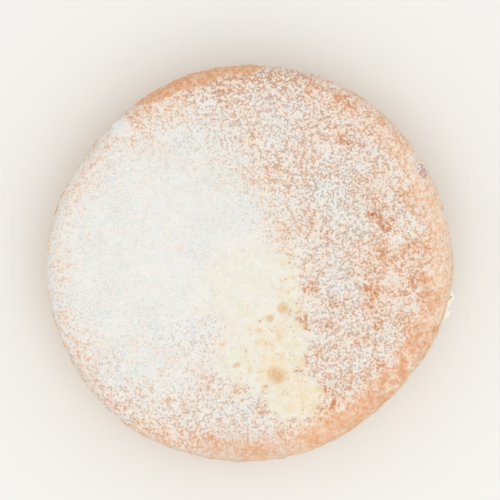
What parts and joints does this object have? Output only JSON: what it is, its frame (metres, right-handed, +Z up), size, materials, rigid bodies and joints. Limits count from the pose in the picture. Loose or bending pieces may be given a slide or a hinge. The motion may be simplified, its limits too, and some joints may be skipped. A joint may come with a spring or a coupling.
{
  "type": "sponge cake",
  "caption": "Round sandwich sponge cake with jam and whipped cream between the sponges, its low domed top dusted with icing sugar.",
  "frame": {"origin": "centre of the cake's bounding box, on the surface it stands on", "axes": "+Z up through the cake; seen from above, +X is the picture's right and +Y is the picture's up"},
  "size_m": [0.2042, 0.1972, 0.0583],
  "materials": {
    "upper_sponge": "baked crust under icing sugar, matt and finely porous",
    "lower_sponge": "baked sponge side, matt and finely porous",
    "cream": "whipped cream, soft satin",
    "jam": "set red jam, wet gloss"
  },
  "bodies": {
    "root": {"sponge_upper": "upper_sponge", "cream_layer": "cream", "jam_layer": "jam", "sponge_lower": "lower_sponge"}
  },
  "joints": []
}
